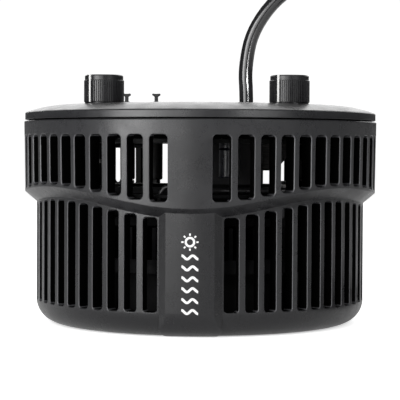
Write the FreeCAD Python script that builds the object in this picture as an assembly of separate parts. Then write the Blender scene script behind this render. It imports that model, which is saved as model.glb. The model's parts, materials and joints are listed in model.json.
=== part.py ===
import FreeCAD, Part
import math
import os
from FreeCAD import Vector as V

os.makedirs("parts", exist_ok=True)

# ---------------------------------------------------------------------------
# Fan-cooled round aquarium LED light.
# Frame: origin at the centre of the bottom face, +Z up, the front rib faces -Y.
# All dimensions in millimetres, angles in degrees. phi is the azimuth from the
# front rib, positive towards +X.
# ---------------------------------------------------------------------------

# housing
LOWER_R = 71.3            # outside radius of the lower tier
UPPER_R_LOW = 76.2        # outside radius of the upper tier near the shoulder
UPPER_R_TOP = 76.7        # outside radius of the upper tier at its top edge
HOUSING_TOP = 86.7
BOTTOM_FILLET = 10.0
LOWER_BORE = 65.6         # inside radius of the lower tier
UPPER_BORE = 70.0         # inside radius of the upper tier's bars
COVER_SEAT_R = 73.2       # counterbore that takes the cover's spigot
COVER_SEAT_Z = 83.2
FLOOR_T = 3.2
SHOULDER_MEAN = 56.24     # mean height of the shoulder's upper edge
SHOULDER_C2 = -2.275      # wave of the shoulder, twice per turn
SHOULDER_C4 = -2.61       # wave of the shoulder, four times per turn
SHOULDER_DROP = 4.2       # fall of the shoulder between the two tiers
RIB_R = 73.9              # outside radius of the front and rear ribs
RIB_FACE = 7.5            # half-angle of the rib's face
RIB_BASE = 10.2           # half-angle of the rib's chamfered foot

# air slots: azimuths of one quarter, then the other three by symmetry
UPPER_SLOTS = [9.25, 16.5, 23.3, 29.7, 35.85, 41.9, 48.0, 54.0, 60.1, 66.5, 73.2, 79.9, 86.63]
UPPER_SLOT_DEG = [5.6, 5.1, 4.65] + [4.4] * 10
UPPER_SLOT_TOP = 80.5
UPPER_SLOT_GAP = [2.1, 1.7, 1.55, 1.35, 1.35, 1.3, 1.3, 1.3, 1.3, 1.3, 1.3, 1.3, 1.3]   # slot's lower end above the shoulder edge
UPPER_SLOT_ROUND = 1.75
LOWER_SLOTS = [13.0, 19.7, 26.0, 32.1, 38.06, 43.96, 49.9, 55.7, 61.7, 67.9, 74.2, 80.5, 86.83]
LOWER_SLOT_DEG = [4.8, 4.4, 4.2] + [4.05] * 10
LOWER_SLOT_BOTTOM = 10.05
LOWER_SLOT_GAP = [0.75, 0.8, 1.0, 1.15, 1.25, 1.2, 1.1, 1.1, 1.1, 1.1, 1.1, 1.1, 1.1]    # slot's upper end below the shoulder's lower edge
LOWER_SLOT_ROUND = 1.35
SLOT_EDGE = 0.27          # eased outer edge of every slot
FRONT_SPREAD = [0.15, 0.20, 0.25, 0.32, 0.42, 0.50, 0.60, 0.75, 0.85, 0.95, 0.95, 0.80, 0.45]   # the front slots stand this much further from the front rib
REAR_CLOSE = 0.40         # the rear slots start this many degrees nearer the rear rib

# cover
COVER_RIM_R = 76.3
COVER_RIM_Z0 = 87.3       # 0.6 mm shadow gap above the housing
COVER_RIM_Z1 = 90.5
COVER_TOP = 94.2
COVER_UNDER = 91.2

# controls
KNOB_XS, KNOB_Y = (-39.0, 38.8), -30.0
KNOB_R = 8.4
KNOB_Z0, KNOB_Z1, KNOB_Z2 = 94.27, 103.6, 105.7
KNOB_TEETH = 60
POT_SHAFT_R = 3.0
RUN = 0.05                # radial running clearance
POINTER_W = 0.95
LEFT_POINTER_PHI = -38.5
RIGHT_POINTER_PHI = -34.0
PLUG_XY = [(-34.4, 20.0), (-21.0, 20.0)]
JACK_BARREL_DX = [0.7, -0.15]   # each jack's barrel hangs through the board a little off its socket

# board and fan
BOARD_R = 62.5
BOARD_Z0, BOARD_Z1 = 77.3, 78.9
FAN_SIDE = 80.0
FAN_Z0, FAN_Z1 = 43.0, 58.0
SINK_R = 60.0
SINK_Z0, SINK_Z1 = 24.5, 43.0
BAFFLE_R, BAFFLE_Z1 = 69.6, 59.0
BAFFLE_LOW = 56.6          # top of the baffle's sunk outer ring
SHROUD_R = 45.4           # light-tight shroud between bezel and heat sink

# power cord
CORD_R = 3.1
GLAND_X, GLAND_Y = 19.8, 20.0
COIL_X, COIL_Y = 145.0, -27.0
COIL_LIFT = 1.1           # the tie passes under the coil
ROUTE = [
    (19.7, 20.0, 88.5), (19.7, 20.0, 99.5), (18.9, 20.0, 111.0), (22.0, 20.0, 128.5), (35.5, 20.0, 146.0),
    (57.9, 20.0, 155.8), (80.8, 20.0, 153.8), (98.8, 20.3, 141.2), (109.6, 20.8, 120.9),
    (112.6, 22.5, 95.5), (112.9, 26.0, 70.0), (112.8, 28.0, 46.5), (112.2, 19.2, 26.8),
    (110.4, 1.2, 15.4), (106.2, -18.0, 9.7),
]
TAIL = [(175.2, 4.3, 4.2), (167.2, 14.0, 3.6), (156.0, 22.4, 6.6), (142.4, 27.8, 6.6)]


# ---------------------------------------------------------------------------
def cyl(r, z0, z1, x=0.0, y=0.0):
    return Part.makeCylinder(r, z1 - z0, V(x, y, z0))


def ring(ro, ri, z0, z1, x=0.0, y=0.0):
    return cyl(ro, z0, z1, x, y).cut(cyl(ri, z0 - 1, z1 + 1, x, y))


def box(x0, x1, y0, y1, z0, z1):
    return Part.makeBox(x1 - x0, y1 - y0, z1 - z0, V(x0, y0, z0))


def lathe(points, x=0.0, y=0.0):
    """Solid of revolution about the vertical through (x, y) of an (r, z) polygon."""
    pts = [V(p[0], 0, p[1]) for p in points]
    pts.append(pts[0])
    face = Part.Face(Part.makePolygon(pts))
    s = face.revolve(V(0, 0, 0), V(0, 0, 1), 360)
    s.translate(V(x, y, 0))
    return s


def prism(points, z0, z1):
    pts = [V(p[0], p[1], z0) for p in points]
    pts.append(pts[0])
    return Part.Face(Part.makePolygon(pts)).extrude(V(0, 0, z1 - z0))


def hexagon(across_flats, z0, z1, x, y, turn=0.0):
    r = across_flats / math.sqrt(3.0)
    pts = [(x + r * math.cos(math.radians(60 * k + turn)), y + r * math.sin(math.radians(60 * k + turn))) for k in range(6)]
    return prism(pts, z0, z1)


def at(phi, r, z=0.0):
    """Point at azimuth phi from the front rib."""
    a = math.radians(phi)
    return V(r * math.sin(a), -r * math.cos(a), z)


def one(shape):
    """The single solid of a boolean result, cleaned."""
    s = shape.removeSplitter()
    return s.Solids[0] if len(s.Solids) == 1 else s


def save(name, shape):
    if isinstance(shape, (list, tuple)):
        shape = Part.makeCompound(list(shape))
    bad = [s for s in shape.Solids if not s.isValid() or s.Volume <= 0]
    bb = shape.BoundBox
    print("%-24s solids %3d  vol %9.1f  x %7.1f %7.1f  y %7.1f %7.1f  z %7.2f %7.2f%s" % (
        name, len(shape.Solids), shape.Volume, bb.XMin, bb.XMax, bb.YMin, bb.YMax, bb.ZMin, bb.ZMax,
        "  INVALID" if bad or not shape.Solids else ""))
    shape.exportStep("parts/%s.step" % name)


def wave(phi):
    a = math.radians(phi)
    return SHOULDER_MEAN + SHOULDER_C2 * math.cos(2 * a) + SHOULDER_C4 * math.cos(4 * a)


def above_shoulder(r_in, r_out, lift, z_top):
    """Solid between two cylinders, above the wavy conical shoulder surface."""
    slope = SHOULDER_DROP / (UPPER_R_LOW - LOWER_R)

    def loop(r):
        pts = []
        for k in range(96):
            a = 360.0 * k / 96
            phi = a + 90.0
            z = wave(phi) - slope * (UPPER_R_LOW - r) + lift
            pts.append(V(r * math.cos(math.radians(a)), r * math.sin(math.radians(a)), z))
        c = Part.BSplineCurve()
        c.interpolate(Points=pts, PeriodicFlag=True)
        return c.toShape()

    low_in, low_out = loop(r_in), loop(r_out)
    top_in = Part.Circle(V(0, 0, z_top), V(0, 0, 1), r_in).toShape()
    top_out = Part.Circle(V(0, 0, z_top), V(0, 0, 1), r_out).toShape()
    annulus = Part.Face([Part.Wire(top_out), Part.Wire(top_in)])
    if annulus.Area > math.pi * r_out * r_out * 0.999:
        annulus = Part.Face(Part.Wire(top_out)).cut(Part.Face(Part.Wire(top_in))).Faces[0]
    faces = [
        Part.makeRuledSurface(low_in, low_out),
        Part.makeRuledSurface(low_in, top_in),
        Part.makeRuledSurface(low_out, top_out),
        annulus,
    ]
    shell = Part.makeShell(faces)
    shell.sewShape()
    s = Part.makeSolid(Part.Shell(shell.Faces)) if not shell.isClosed() else Part.makeSolid(shell)
    if s.Volume < 0:
        s.reverse()
    return s


def route_tube(points, r):
    """Straight runs joined by tangent arcs, each arc as large as its runs allow."""
    P = [V(*p) for p in points]
    edges, radii = [], []
    length = 0.0
    here = P[0]
    for k in range(1, len(P) - 1):
        a, b, c = P[k - 1], P[k], P[k + 1]
        u = (a - b).normalize()
        w = (c - b).normalize()
        short = min((a - b).Length, (c - b).Length)
        turn = math.pi - math.acos(max(-1.0, min(1.0, u.dot(w))))
        t = 0.45 * short
        rad = t / math.tan(turn / 2)
        radii.append(rad)
        p1, p2 = b + u * t, b + w * t
        mid_dir = (u + w).normalize()
        centre = b + mid_dir * (rad / math.cos(turn / 2))
        m = centre - mid_dir * rad
        if (p1 - here).Length > 1e-6:
            edges.append(Part.LineSegment(here, p1).toShape())
            length += (p1 - here).Length
        edges.append(Part.Arc(p1, m, p2).toShape())
        length += rad * turn
        here = p2
    edges.append(Part.LineSegment(here, P[-1]).toShape())
    length += (P[-1] - here).Length
    path = Part.Wire(edges)
    start = Part.Wire(Part.Circle(P[0], P[1] - P[0], r).toShape())
    tube = path.makePipeShell([start], True, False)
    print("   route: length %.1f  radii %s" % (length, " ".join("%.0f" % x for x in radii)))
    if radii:
        print("   volume %.1f, section times length %.1f" % (tube.Volume, math.pi * r * r * length))
    return tube, length


def simple_tube(points, r):
    """Short inner lead."""
    return route_tube(points, r)[0]


# ---------------------------------------------------------------------------
# vented housing
# ---------------------------------------------------------------------------
def filleted_profile(r, r_fillet, z_top, bottom=0.0, inner=0.0):
    """Closed (r, z) face: bottom flat, quarter-round, vertical side."""
    k = math.sqrt(0.5)
    a = V(inner, 0, bottom)
    b = V(r - r_fillet, 0, bottom)
    m = V(r - r_fillet + r_fillet * k, 0, bottom + r_fillet - r_fillet * k)
    c = V(r, 0, bottom + r_fillet)
    d = V(r, 0, z_top)
    e = V(inner, 0, z_top)
    w = Part.Wire([
        Part.LineSegment(a, b).toShape(), Part.Arc(b, m, c).toShape(), Part.LineSegment(c, d).toShape(),
        Part.LineSegment(d, e).toShape(), Part.LineSegment(e, a).toShape(),
    ])
    return Part.Face(w)


def make_housing():
    lower = filleted_profile(LOWER_R, BOTTOM_FILLET, 60.0).revolve(V(0, 0, 0), V(0, 0, 1), 360)
    lower_top = cyl(LOWER_R, 55.0, HOUSING_TOP)
    cone = lathe([(60, 40), (UPPER_R_LOW - 0.14, 40), (UPPER_R_TOP, HOUSING_TOP - 0.35), (UPPER_R_TOP - 0.35, HOUSING_TOP), (60, HOUSING_TOP)])
    upper = cone.common(above_shoulder(62.0, 84.0, 0.0, 120.0))
    body = lower.fuse([lower_top, upper])

    # the two ribs: a proud panel with chamfered sides, rounded under like the tier it stands on
    rib_lathe = filleted_profile(RIB_R, BOTTOM_FILLET, 52.2, inner=50.0).revolve(V(0, 0, 0), V(0, 0, 1), 360)
    pa, pb = at(RIB_BASE, LOWER_R - 0.02), at(RIB_FACE, RIB_R)
    d = (pb - pa).normalize()
    far = pb + d * 4.0
    wedge = prism([(0, -40), (pa.x, pa.y), (far.x, far.y), (-far.x, far.y), (-pa.x, pa.y)], -1, 60)
    rib = rib_lathe.common(wedge)
    rear = rib.copy()
    rear.rotate(V(0, 0, 0), V(0, 0, 1), 180)
    body = body.fuse([rib, rear])

    void_low = filleted_profile(LOWER_BORE, 6.0, 100.0, bottom=FLOOR_T).revolve(V(0, 0, 0), V(0, 0, 1), 360)
    void_up = cyl(UPPER_BORE, 30.0, 100.0).common(above_shoulder(62.0, 84.0, SHOULDER_DROP, 120.0))
    body = body.cut([void_low, void_up, cyl(COVER_SEAT_R, COVER_SEAT_Z, 100.0)])

    # opening and recess of the light's bezel
    body = body.cut([cyl(45.6, -1, 5), cyl(52.4, -1, 1.4)])

    # screw posts from the floor up to the heat sink, and screw bosses under the cover
    posts, holes = [], []
    for a in (45, 135, 225, 315):
        p = at(a, 56.8)
        posts.append(cyl(3.6, 2.0, SINK_Z0, p.x, p.y))
        holes.append(cyl(1.7, -1, 40, p.x, p.y))
        holes.append(cyl(3.2, -1, 2.2, p.x, p.y))
        q = at(a, 67.2)
        ear = cyl(3.6, 70.0, COVER_SEAT_Z, q.x, q.y)
        web = box(-2.4, 2.4, -UPPER_BORE - 1.0, -67.2, 70.0, COVER_SEAT_Z)
        web.rotate(V(0, 0, 0), V(0, 0, 1), a)
        posts += [ear, web]
        holes.append(cyl(1.7, 69.0, 84.0, q.x, q.y))
    for a in (0, 90, 180, 270):
        p = at(a, 49.0)
        posts.append(cyl(2.8, 2.0, 8.0, p.x, p.y))
        holes.append(cyl(1.0, -1, 7.0, p.x, p.y))
    body = body.fuse(posts)
    body = body.cut(holes)

    # air slots
    cutters = []

    def outline(half, za_l, za_r, zb_l, zb_r, rnd, y):
        """Rounded four-sided wire in the plane at y."""
        pts = [V(-half, y, za_l), V(half, y, za_r), V(half, y, zb_r), V(-half, y, zb_l)]
        n = len(pts)
        edges = []
        ends = []
        for i in range(n):
            p, a, b = pts[i], pts[i - 1], pts[(i + 1) % n]
            u, w = (a - p).normalize(), (b - p).normalize()
            half_ang = math.acos(max(-1, min(1, u.dot(w)))) / 2
            t = rnd / math.tan(half_ang)
            c = p + (u + w).normalize() * (rnd / math.sin(half_ang))
            m = c - (u + w).normalize() * rnd
            ends.append((p + u * t, m, p + w * t))
        for i in range(n):
            st, m, e = ends[i]
            edges.append(Part.Arc(st, m, e).toShape())
            edges.append(Part.LineSegment(e, ends[(i + 1) % n][0]).toShape())
        return Part.Wire(edges)

    def slot(phi, half, r_at, za_l, za_r, zb_l, zb_r, rnd, depth, lean):
        """Cutter straight in along the slot's own radius, flared where it meets the outside."""
        e = SLOT_EDGE
        small = (half, za_l, za_r, zb_l, zb_r, rnd)
        big = (half + e, za_l - e, za_r - e, zb_l + e, zb_r + e, rnd + e)
        bigger = (half + 4 * e, za_l - 4 * e, za_r - 4 * e, zb_l + 4 * e, zb_r + 4 * e, rnd + 4 * e)
        c = Part.makeLoft([outline(*small, -depth), outline(*small, -(r_at - e)), outline(*bigger, -(r_at + 3 * e))], True, True)
        if lean:
            c.rotate(V(0, -r_at, za_l), V(1, 0, 0), lean)
        c.rotate(V(0, 0, 0), V(0, 0, 1), phi)
        return c

    draft = math.degrees(math.atan2(UPPER_R_TOP - UPPER_R_LOW, HOUSING_TOP - 56.0))
    for q_sign, q_off in ((1, 0), (-1, 0), (1, 180), (-1, 180)):
        def shifted(c, k):
            return c - REAR_CLOSE * (1 - (c / 90.0) ** 2) if q_off else c + FRONT_SPREAD[k]

        for k, (centre, deg) in enumerate(zip(UPPER_SLOTS, UPPER_SLOT_DEG)):
            phi = q_off + q_sign * shifted(centre, k)
            half = UPPER_R_LOW * math.sin(math.radians(deg / 2))
            za = wave(phi) + UPPER_SLOT_GAP[k]
            cutters.append(slot(phi, half, UPPER_R_LOW, za, za, UPPER_SLOT_TOP, UPPER_SLOT_TOP, UPPER_SLOT_ROUND, 66.0, draft))
        for k, (centre, deg) in enumerate(zip(LOWER_SLOTS, LOWER_SLOT_DEG)):
            phi = q_off + q_sign * shifted(centre, k)
            half = LOWER_R * math.sin(math.radians(deg / 2))
            zb = wave(phi) - SHOULDER_DROP - LOWER_SLOT_GAP[k]
            cutters.append(slot(phi, half, LOWER_R, LOWER_SLOT_BOTTOM, LOWER_SLOT_BOTTOM, zb, zb, LOWER_SLOT_ROUND, 61.0, 0.0))
    body = body.cut(cutters)
    return one(body)


save("vented_housing", make_housing())

# ---------------------------------------------------------------------------
# top cover
# ---------------------------------------------------------------------------
dome = Part.BSplineCurve()
dome.interpolate([V(38.0, 0, COVER_TOP), V(46.0, 0, 94.08), V(54.0, 0, 93.88), V(60.0, 0, 93.65), V(64.0, 0, 93.32),
                  V(68.0, 0, 92.70), V(72.0, 0, 91.75), V(75.8, 0, COVER_RIM_Z1 + 0.05)])
pv = [V(75.8, 0, COVER_RIM_Z1 + 0.05), V(COVER_RIM_R, 0, COVER_RIM_Z1 - 0.4), V(COVER_RIM_R, 0, COVER_RIM_Z0), V(74.6, 0, COVER_RIM_Z0),
      V(74.6, 0, HOUSING_TOP), V(72.9, 0, HOUSING_TOP), V(72.9, 0, 83.7), V(70.4, 0, 83.7), V(70.4, 0, 88.4), V(63.0, 0, 90.2),
      V(50.0, 0, COVER_UNDER), V(0, 0, COVER_UNDER), V(0, 0, COVER_TOP), V(38.0, 0, COVER_TOP)]
cover = Part.Face(Part.Wire([dome.toShape()] + [Part.LineSegment(pv[i], pv[i + 1]).toShape() for i in range(len(pv) - 1)]))
cover = cover.revolve(V(0, 0, 0), V(0, 0, 1), 360)
BOARD_POSTS = [(52.0, 18.0), (-52.0, 18.0), (0.0, -52.0), (0.0, 52.0)]
adds, cuts = [], []
for a in (45, 135, 225, 315):
    q = at(a, 67.2)
    adds.append(cyl(3.6, 83.2, 90.6, q.x, q.y))
    cuts += [cyl(1.5, 80, 88.6, q.x, q.y), cyl(3.8, 79.0, COVER_SEAT_Z, q.x, q.y)]
adds.append(ring(64.8, 63.2, 79.3, 90.6))      # drip skirt just outside the board
for x, y in BOARD_POSTS:
    adds.append(cyl(2.6, BOARD_Z1, 92.0, x, y))
    cuts.append(cyl(1.0, BOARD_Z1 - 1, 88.0, x, y))
for x in KNOB_XS:
    adds.append(cyl(8.0, 91.5, KNOB_Z0 - 0.04, x, KNOB_Y))      # flat seat under each knob
    cuts += [cyl(3.6, 85, 100, x, KNOB_Y), cyl(6.3, 93.6, 100, x, KNOB_Y)]
for x, y in PLUG_XY:
    cuts.append(cyl(3.5, 85, 100, x, y))
cuts += [cyl(4.7, 85, 100, GLAND_X, GLAND_Y), cyl(4.2, 80, 100)]
cover = cover.fuse(adds).cut(cuts)
save("top_cover", one(cover))

screws = []
for a in (45, 135, 225, 315):
    q = at(a, 67.2)
    s = cyl(2.65, 68.2, 70.0, q.x, q.y).fuse(cyl(1.5, 70.0, 88.4, q.x, q.y))
    s = s.cut(hexagon(2.6, 68.0, 69.2, q.x, q.y))
    screws.append(one(s))
save("cover_screws", screws)

# threaded hanging point in the middle of the cover
insert = lathe([(2.6, 84.9), (0, 84.9), (0, 83.9), (4.2, 83.9), (4.2, COVER_TOP), (6.6, COVER_TOP), (6.6, 94.7), (6.3, 95.0), (3.0, 95.0), (2.6, 94.6)])
save("mount_insert", insert)

# ---------------------------------------------------------------------------
# control knobs, pointers, potentiometers
# ---------------------------------------------------------------------------
def knob_parts(x, y, phi):
    pts = []
    for k in range(KNOB_TEETH):
        for r, share in ((KNOB_R, -0.27), (KNOB_R, 0.27), (KNOB_R - 0.42, 0.40), (KNOB_R - 0.42, 0.60)):
            a = 2 * math.pi * (k + share) / KNOB_TEETH
            pts.append((x + r * math.cos(a), y + r * math.sin(a)))
    body = prism(pts, KNOB_Z0, KNOB_Z1)
    body = body.common(lathe([(0, KNOB_Z0), (KNOB_R - 0.25, KNOB_Z0), (KNOB_R + 0.1, KNOB_Z0 + 0.4), (KNOB_R + 0.1, KNOB_Z1 - 0.35), (KNOB_R - 0.3, KNOB_Z1), (0, KNOB_Z1)], x, y))
    cap = lathe([(0, KNOB_Z1 - 0.5), (8.05, KNOB_Z1 - 0.5), (8.05, KNOB_Z2 - 0.45), (7.6, KNOB_Z2), (5.9, KNOB_Z2), (5.6, KNOB_Z2 - 0.35), (0, KNOB_Z2 - 0.35)], x, y)
    body = body.fuse(cap)
    body = body.cut([cyl(6.4, KNOB_Z0 - 1, 97.6, x, y), cyl(POT_SHAFT_R, 90, 103.2, x, y)])
    blade = box(-POINTER_W / 2, POINTER_W / 2, -KNOB_R - 0.04, -7.0, KNOB_Z0 + 0.1, KNOB_Z2 + 0.03)
    strip = box(-POINTER_W / 2, POINTER_W / 2, -7.0, -2.6, KNOB_Z2 - 0.9, KNOB_Z2 + 0.03)
    pointer = blade.fuse(strip).removeSplitter()
    pointer.rotate(V(0, 0, 0), V(0, 0, 1), phi)
    pointer.translate(V(x, y, 0))
    return one(body.cut(pointer)), pointer.Solids[0]


for side, x, phi in (("intensity", KNOB_XS[0], LEFT_POINTER_PHI), ("color", KNOB_XS[1], RIGHT_POINTER_PHI)):
    knob, pointer = knob_parts(x, KNOB_Y, phi)
    save(side + "_knob", knob)
    save(side + "_pointer", pointer)
    shaft = cyl(POT_SHAFT_R, 84.6, 103.2, x, KNOB_Y)
    save(side + "_shaft", shaft)
    pot = cyl(8.0, 81.5, 90.2, x, KNOB_Y).fuse(cyl(3.5, 88, 97.2, x, KNOB_Y))
    pins = [box(x + dx - 0.5, x + dx + 0.5, KNOB_Y + 5.2, KNOB_Y + 6.0, BOARD_Z1, 82.5) for dx in (-3.0, 0.0, 3.0)]
    feet = [box(x - 6.5, x - 5.5, KNOB_Y - 1, KNOB_Y + 1, BOARD_Z1, 82.5), box(x + 5.5, x + 6.5, KNOB_Y - 1, KNOB_Y + 1, BOARD_Z1, 82.5)]
    pot = pot.fuse(pins + feet).cut(cyl(POT_SHAFT_R + RUN, 84.2, 100, x, KNOB_Y))
    save(side + "_pot", one(pot))

save("pot_nuts", [hexagon(10.0, 93.6, 95.8, x, KNOB_Y, 30).cut(cyl(3.5, 90, 100, x, KNOB_Y)) for x in KNOB_XS])

# ---------------------------------------------------------------------------
# link ports and their pull-out rubber plugs
# ---------------------------------------------------------------------------
jacks = []
for x, y in PLUG_XY:
    j = box(x - 5.8, x + 5.8, y - 5.0, y + 5.0, BOARD_Z1, COVER_UNDER - 0.1).fuse(cyl(3.4, 90, COVER_TOP - 0.1, x, y))
    bx = x + JACK_BARREL_DX[len(jacks)]
    j = j.fuse(lathe([(0, 61.0), (2.6, 61.0), (3.1, 61.5), (3.1, BOARD_Z1 + 0.5), (0, BOARD_Z1 + 0.5)], bx, y))
    jacks.append(one(j.cut(cyl(1.80, 81.0, 100, x, y))))
save("link_jacks", jacks)


def port_plug(x, y):
    stub = cyl(1.70, 86.5, 95.0, x, y)
    flange = lathe([(0, COVER_TOP + 0.06), (3.0, COVER_TOP + 0.06), (3.0, 94.9), (2.7, 95.3), (0, 95.3)], x, y)
    foot = lathe([(0, 95.0), (1.6, 95.0), (1.2, 96.2), (0, 96.2)], x, y)
    stem = box(x - 0.75, x + 0.75, y - 1.0, y + 1.0, 95.0, 99.0)
    head_pts = [(-0.75, 98.3), (-1.25, 98.75), (-1.75, 99.0), (-1.8, 99.6), (-1.5, 99.8), (-0.5, 99.68), (0.5, 99.68), (1.5, 99.8), (1.8, 99.6), (1.75, 99.0), (1.25, 98.75), (0.75, 98.3)]
    pts = [V(x + a, y - 1.25, b) for a, b in head_pts]
    head = Part.Face(Part.makePolygon(pts + [pts[0]])).extrude(V(0, 2.5, 0))
    return one(stub.fuse([flange, foot, stem, head]))


save("port_plug_left", port_plug(*PLUG_XY[0]))
save("port_plug_right", port_plug(*PLUG_XY[1]))

# ---------------------------------------------------------------------------
# control board and what stands and hangs on it
# ---------------------------------------------------------------------------
board = cyl(BOARD_R, BOARD_Z0, BOARD_Z1)
board = board.cut([cyl(1.1, 70, 90, x, y) for x, y in BOARD_POSTS] + [cyl(5.0, 70, 90)] + [cyl(3.5, 70, 90, x + dx, y) for (x, y), dx in zip(PLUG_XY, JACK_BARREL_DX)])
save("control_board", one(board))
save("board_screws", [cyl(2.3, BOARD_Z0 - 1.7, BOARD_Z0, x, y).fuse(cyl(1.0, BOARD_Z0, 87.0, x, y)).cut(hexagon(1.8, 70, BOARD_Z0 - 0.9, x, y)) for x, y in BOARD_POSTS])
coil_side = [(27.3, 65.7), (33.0, 65.7), (39.6, 73.2), (39.6, BOARD_Z0), (27.3, BOARD_Z0)]
drum = Part.Face(Part.makePolygon([V(a, -9.0, b) for a, b in coil_side + coil_side[:1]])).extrude(V(0, 15.0, 0))
drum = drum.makeChamfer(0.6, [e for e in drum.Edges if abs(e.Vertexes[0].Y - e.Vertexes[1].Y) < 0.1 and e.BoundBox.ZMin > 60 and e.BoundBox.ZMax < BOARD_Z0 - 0.1])
save("power_inductor", one(drum))
module = box(5.2, 27.2, -24.0, 22.0, 59.9, BOARD_Z0)
module = module.makeChamfer(1.2, [e for e in module.Edges if abs(e.Vertexes[0].Z - e.Vertexes[1].Z) > 1])
module = module.cut([box(-1, 40, -21.0 + 4.4 * k, -19.2 + 4.4 * k, 50, 64.5) for k in range(10)])
save("driver_module", one(module))
caps = []
for x, y in ((19.0, 34.0), (8.0, 35.0), (14.0, -37.0)):
    caps.append(lathe([(0, BOARD_Z0), (4.2, BOARD_Z0), (4.2, BOARD_Z0 - 2), (3.95, BOARD_Z0 - 2.5), (4.2, BOARD_Z0 - 3), (4.2, 63.4), (3.8, 63.0), (0, 63.0)][::-1], x, y))
save("filter_capacitors", caps)
chips = [box(-8, 8, 30, 42, BOARD_Z1, 81.2), box(-12, -2, -30, -20, BOARD_Z1, 80.6), box(14, 24, -42, -30, BOARD_Z1, 83.5), box(-46, -26, 32, 43, BOARD_Z0 - 2.0, BOARD_Z0)]
save("board_chips", chips)
block = box(28.0, 40.0, 29.0, 38.0, BOARD_Z1, 88.0).cut([cyl(1.4, 84, 90, x, 33.5) for x in (31.2, 36.8)])
save("supply_terminal", one(block))

# ---------------------------------------------------------------------------
# fan: frame, stator, bearing, shaft, rotor, screws, lead
# ---------------------------------------------------------------------------
h = FAN_SIDE / 2


def rounded_square(z0, z1):
    s = box(-h, h, -h, h, z0, z1)
    e = [x for x in s.Edges if abs(x.Vertexes[0].Z - x.Vertexes[1].Z) > 1]
    return s.makeFillet(4.0, e)


frame = rounded_square(FAN_Z0, FAN_Z0 + 3.4).fuse([rounded_square(FAN_Z1 - 3.4, FAN_Z1), cyl(39.9, FAN_Z0, FAN_Z1)])
frame = frame.cut([cyl(38.4, FAN_Z0 - 1, FAN_Z1 + 1)])
struts = []
for a in (30, 150, 270):
    s = box(14.0, 38.9, -2.0, 2.0, FAN_Z0, FAN_Z0 + 2.4)
    s.rotate(V(0, 0, 0), V(0, 0, 1), a)
    struts.append(s)
frame = frame.fuse(struts + [cyl(16.5, FAN_Z0, FAN_Z0 + 2.4), cyl(4.2, FAN_Z0, 54.4)])
frame = frame.cut([cyl(3.0, FAN_Z0 + 1.2, 60)] + [cyl(2.2, 40, 60, sx * 35.75, sy * 35.75) for sx in (-1, 1) for sy in (-1, 1)])
save("fan_frame", one(frame))
save("fan_bearing", ring(3.0, 1.5 + RUN, FAN_Z0 + 1.6, 54.2))
save("fan_shaft", cyl(1.5, FAN_Z0 + 1.35, 55.9))
stator = ring(7.0, 4.2, 46.6, 54.0)
for k in range(4):
    arm = box(6.0, 14.2, -2.2, 2.2, 47.6, 53.2).fuse(box(12.4, 14.2, -6.2, 6.2, 47.0, 53.8).common(ring(14.6, 11.0, 40, 60)))
    arm.rotate(V(0, 0, 0), V(0, 0, 1), 90 * k + 20)
    stator = stator.fuse(arm)
save("fan_stator", one(stator))
hub = lathe([(1.5, 55.4), (1.5, 57.2), (16.6, 57.2), (17.4, 56.4), (17.4, 47.0), (15.6, 47.0), (15.6, 55.4)])
hub = hub.fuse(ring(3.4, 1.5, 54.9, 56.0))
blades = []
for k in range(7):
    b = box(16.4, 38.4, -8.6, 8.6, -0.75, 0.75)
    b.rotate(V(0, 0, 0), V(1, 0, 0), 30)
    b.translate(V(0, 0, 52.0))
    b.rotate(V(0, 0, 0), V(0, 0, 1), 360.0 / 7 * k)
    blades.append(b)
blades = [b.common(ring(37.2, 16.4, 46.4, 57.4)) for b in blades]
save("fan_rotor", one(hub.fuse(blades)))
save("fan_screws", [cyl(3.4, BAFFLE_Z1, BAFFLE_Z1 + 1.4, sx * 35.75, sy * 35.75).fuse(cyl(1.6, 34.0, BAFFLE_Z1, sx * 35.75, sy * 35.75)).cut(hexagon(2.4, BAFFLE_Z1 + 0.7, 64, sx * 35.75, sy * 35.75)) for sx in (-1, 1) for sy in (-1, 1)])

# baffle that parts the intake plenum above from the exhaust below: a cap round the fan and a sunk ring
baffle = box(-41.6, 41.6, -41.6, 41.6, BAFFLE_LOW - 1.2, BAFFLE_Z1).cut(box(-40.3, 40.3, -40.3, 40.3, 50, FAN_Z1))
wing = cyl(BAFFLE_R, BAFFLE_LOW - 1.2, BAFFLE_LOW).common(above_shoulder(62.0, 84.0, SHOULDER_DROP + 0.25, 120.0))
wing = wing.fuse(cyl(LOWER_BORE - 0.2, BAFFLE_LOW - 1.2, BAFFLE_LOW))
baffle = baffle.fuse(wing.cut(box(-40.3, 40.3, -40.3, 40.3, 50, 60)))
baffle = baffle.cut([cyl(2.0, 50, 70, sx * 35.75, sy * 35.75) for sx in (-1, 1) for sy in (-1, 1)] + [cyl(38.4, 50, 70), cyl(1.7, 50, 60, -13.9, -47.0), cyl(4.5, 50, 70, 63.4, 0.0)])
save("air_baffle", one(baffle))

# heat sink
fins = []
for k in range(36):
    f = box(20.0, SINK_R - 0.1, -0.8, 0.8, SINK_Z0 + 5.0, SINK_Z1)
    f.rotate(V(0, 0, 0), V(0, 0, 1), 5.0 + 10.0 * k)
    fins.append(f)
sink = cyl(SINK_R, SINK_Z0, SINK_Z0 + 5.5).fuse([cyl(21.5, SINK_Z0 + 5.0, SINK_Z1 - 1.5)] + fins + [cyl(3.6, SINK_Z0 + 5, SINK_Z1, sx * 35.75, sy * 35.75) for sx in (-1, 1) for sy in (-1, 1)])
sink = sink.cut([cyl(1.6, 33.5, 50, sx * 35.75, sy * 35.75) for sx in (-1, 1) for sy in (-1, 1)]
                + [cyl(1.5, 20, 29.0, at(a, 56.8).x, at(a, 56.8).y) for a in (45, 135, 225, 315)]
                + [cyl(1.0, 20, 28.5, at(a, 17.5).x, at(a, 17.5).y) for a in (30, 150, 270)])
save("heat_sink", one(sink))
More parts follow.
